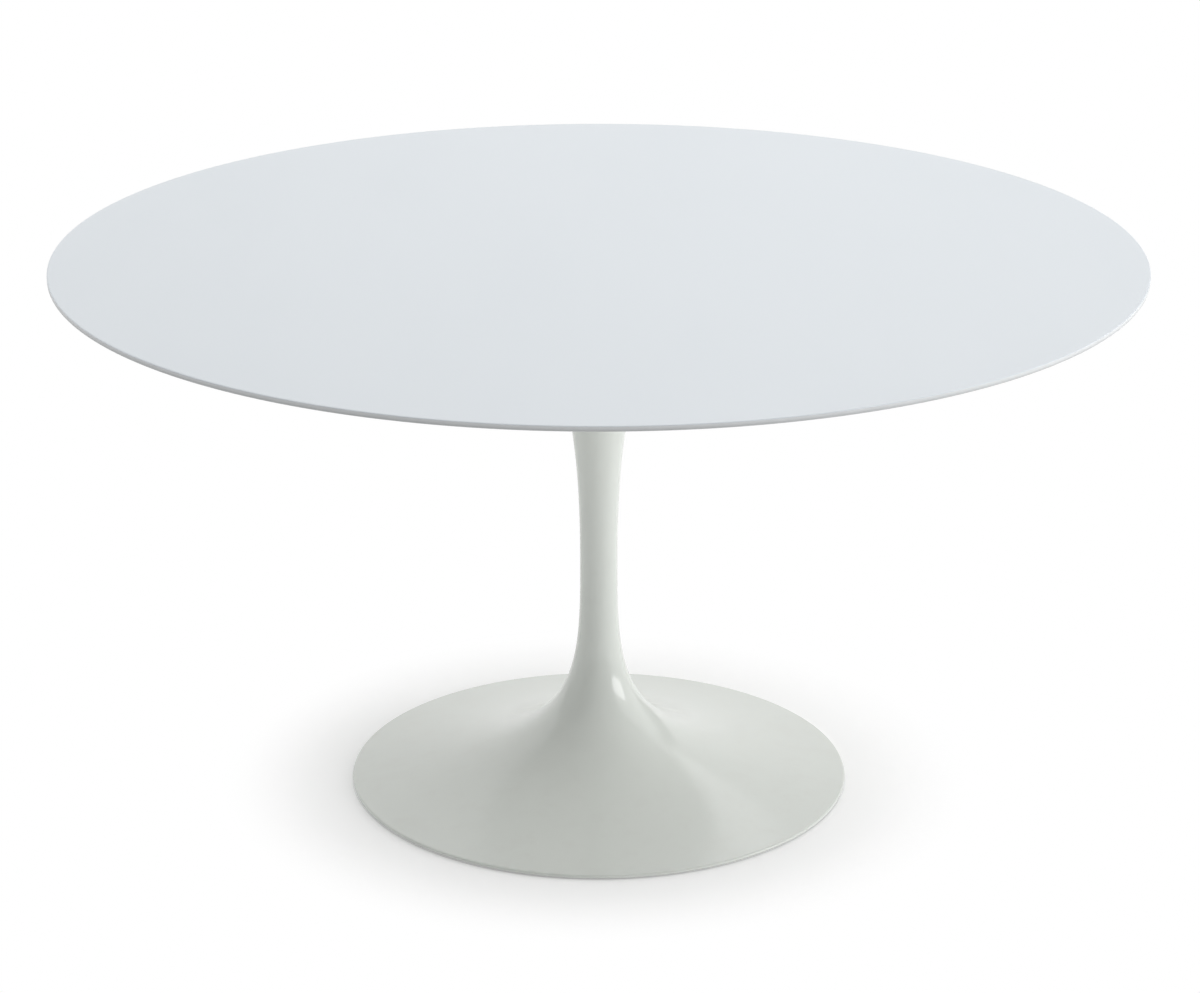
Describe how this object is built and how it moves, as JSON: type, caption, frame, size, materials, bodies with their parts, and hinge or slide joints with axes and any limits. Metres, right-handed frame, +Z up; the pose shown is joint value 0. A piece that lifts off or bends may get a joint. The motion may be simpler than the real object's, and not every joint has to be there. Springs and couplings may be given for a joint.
{
  "type": "round pedestal table",
  "caption": "Round pedestal table: a flat disc top with a bevelled underside on a slender stem that flares, trumpet-like, into a round foot.",
  "frame": {"origin": "on the floor, under the centre of the foot", "axes": "+Z up the stem to the table surface; the table is round about Z, and +X passes through a foot glide and a locating pin"},
  "size_m": [1.3798, 1.38, 0.718],
  "materials": {
    "face_laminate": "satin white high-pressure laminate",
    "lacquered_core": "fibreboard with a satin white lacquer on its edge and bevel",
    "backer_laminate": "matt white balancing sheet",
    "insert_brass": "plain",
    "plate_paint": "satin white powder coat on steel",
    "zinc_steel": "bright zinc plate",
    "plain_steel": "plain turned steel",
    "gasket_rubber": "matte",
    "coated_casting": "gloss white coating on cast aluminium",
    "ballast_iron": "rough, black primed",
    "cover_paint": "satin dark grey paint on sheet steel",
    "cap_plastic": "moulded black",
    "glide_nylon": "moulded black nylon"
  },
  "bodies": {
    "root": {"top_laminate": "face_laminate", "top_core": "lacquered_core", "backer_sheet": "backer_laminate", "threaded_inserts": "insert_brass", "mounting_plate": "plate_paint", "plate_screws": "zinc_steel", "plate_washers": "zinc_steel", "rod_boss": "plain_steel", "locating_pins": "plain_steel", "neck_gasket": "gasket_rubber", "pedestal_casting": "coated_casting", "tie_rod": "zinc_steel", "rod_lock_nut": "zinc_steel", "clamp_washer": "zinc_steel", "spring_washer": "plain_steel", "clamp_nut": "zinc_steel", "ballast_ring": "ballast_iron", "ballast_bolts": "zinc_steel", "ballast_washers": "zinc_steel", "underside_cover": "cover_paint", "cover_screws": "zinc_steel", "access_cap": "cap_plastic", "foot_glides": "glide_nylon"}
  },
  "joints": []
}
